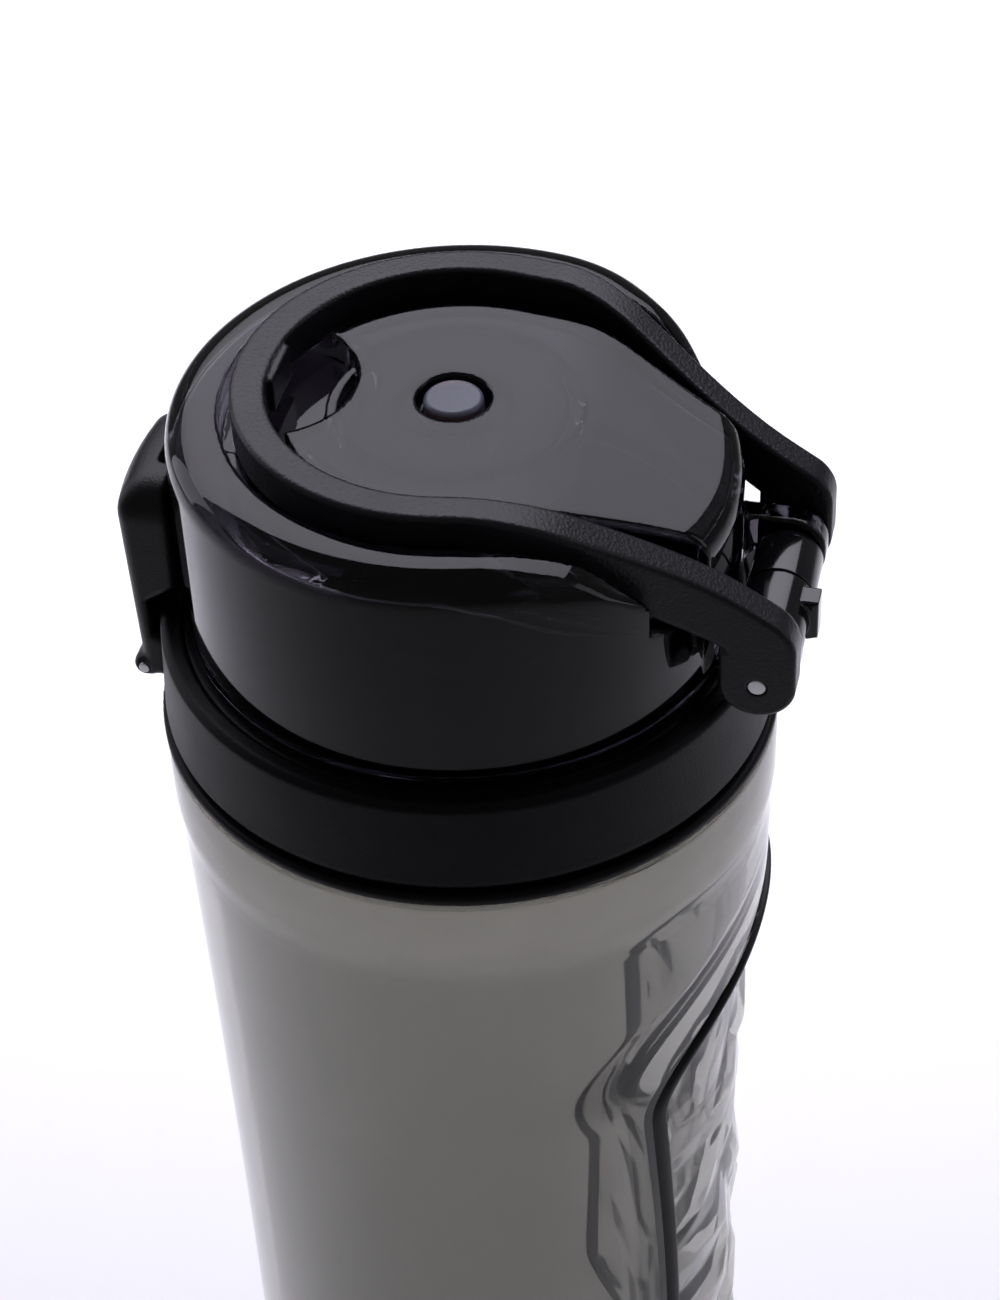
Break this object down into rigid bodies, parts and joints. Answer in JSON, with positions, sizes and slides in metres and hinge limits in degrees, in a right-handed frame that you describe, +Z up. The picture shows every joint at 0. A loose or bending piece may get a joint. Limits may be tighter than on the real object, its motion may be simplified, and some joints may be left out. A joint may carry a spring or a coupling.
{
  "type": "sports bottle",
  "caption": "Smoked clear sports bottle with a hinged flip lid over a drinking spout, a pivoting carry loop, a sprung front latch and a recessed rear grip.",
  "frame": {"origin": "centre of the foot, on the surface that the bottle stands on", "axes": "+Z up along the bottle's axis, +Y towards the lid's hinge, -Y towards the latch"},
  "size_m": [0.074, 0.0816, 0.244],
  "materials": {
    "smoked_body": "glossy smoked clear",
    "smoked_lid": "glossy dark smoked clear",
    "grip_rubber": "soft satin moulded rim",
    "cap_plastic": "fine matte texture",
    "gloss_black": "polished",
    "satin_black": "satin with a faint grain",
    "grained_black": "leather grain",
    "silicone": "translucent silicone",
    "seal_silicone": "blue-grey translucent silicone",
    "steel": "turned"
  },
  "bodies": {
    "bottle": {"bottle_body": "smoked_body", "grip_rim": "grip_rubber"},
    "cap_riser": {"neck_gasket": "silicone"},
    "cap": {"cap_core": "cap_plastic", "collar_band": "cap_plastic", "spout": "cap_plastic", "spout_oring": "silicone", "vent_valve": "silicone", "hinge_pin": "steel", "hinge_spring": "steel", "spring_sleeve": "gloss_black", "latch_pin": "steel", "latch_spring": "steel"},
    "lid": {"flip_lid": "smoked_lid", "lid_seal": "seal_silicone"},
    "loop": {"carry_loop": "grained_black"},
    "latch": {"latch_lever": "satin_black"}
  },
  "joints": [
    {"name": "cap_rise", "type": "slide", "parent": "bottle", "child": "cap_riser", "axis": [0, 0, 1], "range_m": [0, 0.005]},
    {"name": "cap_turn", "type": "hinge", "parent": "cap_riser", "child": "cap", "pos_m": [0, 0, 0.205], "axis": [0, 0, 1], "range_deg": [0, 450.5]},
    {"name": "lid_hinge", "type": "hinge", "parent": "cap", "child": "lid", "pos_m": [0, 0.037, 0.2175], "axis": [-1, 0, 0], "range_deg": [0, 110]},
    {"name": "loop_pivot", "type": "hinge", "parent": "lid", "child": "loop", "pos_m": [0, 0.037, 0.2175], "axis": [-1, 0, 0], "range_deg": [0, 50]},
    {"name": "latch_pivot", "type": "hinge", "parent": "cap", "child": "latch", "pos_m": [0, -0.0379, 0.2024], "axis": [1, 0, 0], "range_deg": [0, 35], "stiffness_Nm_per_rad": 0.05}
  ],
  "couplings": [
    {"joint": "cap_turn", "follows": "cap_rise", "rad_per_m": 1570.8}
  ]
}
